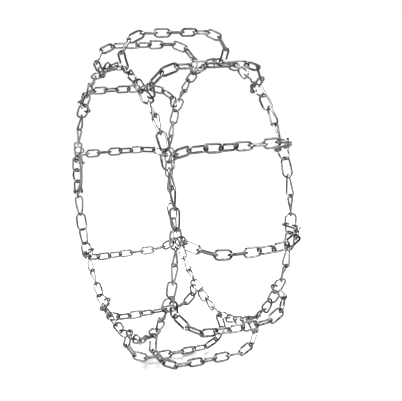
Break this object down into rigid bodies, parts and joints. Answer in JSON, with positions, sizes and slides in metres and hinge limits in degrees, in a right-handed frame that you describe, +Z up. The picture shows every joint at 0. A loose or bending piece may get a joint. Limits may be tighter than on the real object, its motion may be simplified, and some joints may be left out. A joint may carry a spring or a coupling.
{
  "type": "tire snow chain",
  "caption": "Ladder-pattern tyre snow chain in its fitted shape: two ring side chains, steel cross chains over the tread, cross-chain hooks, outer tension lever and inner closing hook.",
  "frame": {"origin": "centre of the wheel the chain is fitted on: the middle of both side-chain rings, halfway between them", "axes": "+Y along the axle towards the inner side of the wheel, -Y is the outer side with the tension lever, +Z up, angles from +X to +Z"},
  "size_m": [0.809, 0.3, 0.8108],
  "materials": {
    "cross_steel": "bright zinc plate, slightly darkened",
    "side_steel": "bright zinc plate, slightly darkened",
    "hook_steel": "bright zinc plate, darker in the bends",
    "lever_steel": "satin zinc plate"
  },
  "bodies": {
    "sector_01": {"cross_chain_01": "cross_steel", "outer_cross_hook_01": "hook_steel", "outer_side_chain_01": "side_steel", "inner_side_chain_01": "side_steel", "end_ring": "hook_steel", "lever_clevis": "hook_steel", "lever_pin": "lever_steel"},
    "sector_02": {"cross_chain_02": "cross_steel", "outer_cross_hook_02": "hook_steel", "outer_side_chain_02": "side_steel", "inner_side_chain_02": "side_steel"},
    "sector_03": {"cross_chain_03": "cross_steel", "outer_cross_hook_03": "hook_steel", "outer_side_chain_03": "side_steel", "inner_side_chain_03": "side_steel"},
    "sector_04": {"cross_chain_04": "cross_steel", "outer_cross_hook_04": "hook_steel", "outer_side_chain_04": "side_steel", "inner_side_chain_04": "side_steel"},
    "sector_05": {"cross_chain_05": "cross_steel", "outer_cross_hook_05": "hook_steel", "outer_side_chain_05": "side_steel", "inner_side_chain_05": "side_steel"},
    "sector_06": {"cross_chain_06": "cross_steel", "outer_cross_hook_06": "hook_steel", "outer_side_chain_06": "side_steel", "inner_side_chain_06": "side_steel"},
    "sector_07": {"cross_chain_07": "cross_steel", "outer_cross_hook_07": "hook_steel", "outer_side_chain_07": "side_steel", "inner_side_chain_07": "side_steel"},
    "sector_08": {"cross_chain_08": "cross_steel", "outer_cross_hook_08": "hook_steel", "outer_side_chain_08": "side_steel", "inner_side_chain_08": "side_steel"},
    "sector_09": {"cross_chain_09": "cross_steel", "outer_cross_hook_09": "hook_steel", "outer_side_chain_09": "side_steel", "inner_side_chain_09": "side_steel"},
    "sector_10": {"cross_chain_10": "cross_steel", "outer_cross_hook_10": "hook_steel", "outer_side_chain_10": "side_steel", "inner_side_chain_10": "side_steel"},
    "sector_11": {"cross_chain_11": "cross_steel", "outer_cross_hook_11": "hook_steel", "outer_side_chain_11": "side_steel", "inner_side_chain_11": "side_steel"},
    "sector_12": {"cross_chain_12": "cross_steel", "outer_cross_hook_12": "hook_steel", "outer_side_chain_12": "side_steel", "inner_side_chain_12": "side_steel", "outer_tail_link": "side_steel", "outer_catch_link": "side_steel", "inner_end_link": "side_steel"},
    "lever": {"tension_lever": "lever_steel"},
    "keeper": {"keeper_ring": "hook_steel"},
    "closing_hook": {"inner_hook": "hook_steel"}
  },
  "joints": [
    {"name": "unroll_05", "type": "hinge", "parent": "sector_04", "child": "sector_05", "pos_m": [0.07452, 0, 0.31149], "axis": [0, -1, 0], "range_deg": [0, 28.8]},
    {"name": "unroll_06", "type": "hinge", "parent": "sector_05", "child": "sector_06", "pos_m": [0.21536, 0, 0.23706], "axis": [0, -1, 0], "range_deg": [0, 28.8]},
    {"name": "unroll_07", "type": "hinge", "parent": "sector_06", "child": "sector_07", "pos_m": [0.30293, 0, 0.10399], "axis": [0, -1, 0], "range_deg": [0, 28.8]},
    {"name": "unroll_08", "type": "hinge", "parent": "sector_07", "child": "sector_08", "pos_m": [0.31555, 0, -0.05481], "axis": [0, -1, 0], "range_deg": [0, 28.8]},
    {"name": "unroll_09", "type": "hinge", "parent": "sector_08", "child": "sector_09", "pos_m": [0.25012, 0, -0.20005], "axis": [0, -1, 0], "range_deg": [0, 28.8]},
    {"name": "unroll_10", "type": "hinge", "parent": "sector_09", "child": "sector_10", "pos_m": [0.1228, 0, -0.2958], "axis": [0, -1, 0], "range_deg": [0, 28.8]},
    {"name": "unroll_11", "type": "hinge", "parent": "sector_10", "child": "sector_11", "pos_m": [-0.03489, 0, -0.31837], "axis": [0, -1, 0], "range_deg": [0, 28.8]},
    {"name": "unroll_12", "type": "hinge", "parent": "sector_11", "child": "sector_12", "pos_m": [-0.18395, 0, -0.26219], "axis": [0, -1, 0], "range_deg": [0, 28.8]},
    {"name": "unroll_03", "type": "hinge", "parent": "sector_04", "child": "sector_03", "pos_m": [-0.08476, 0, 0.30886], "axis": [0, 1, 0], "range_deg": [0, 28.8]},
    {"name": "unroll_02", "type": "hinge", "parent": "sector_03", "child": "sector_02", "pos_m": [-0.22307, 0, 0.22982], "axis": [0, 1, 0], "range_deg": [0, 28.8]},
    {"name": "unroll_01", "type": "hinge", "parent": "sector_02", "child": "sector_01", "pos_m": [-0.3062, 0, 0.09393], "axis": [0, 1, 0], "range_deg": [0, 28.8]},
    {"name": "lever_swing", "type": "hinge", "parent": "sector_01", "child": "lever", "pos_m": [-0.31759, -0.135, -0.04012], "axis": [0, 1, 0], "range_deg": [0, 70]},
    {"name": "keeper_slide", "type": "slide", "parent": "sector_01", "child": "keeper", "axis": [-0.2402, 0, -0.9707], "range_m": [0, 0.008]},
    {"name": "closing_hook_swing", "type": "hinge", "parent": "sector_01", "child": "closing_hook", "pos_m": [-0.31357, 0.135, -0.0652], "axis": [0, 1, 0], "range_deg": [-45, 45]}
  ]
}
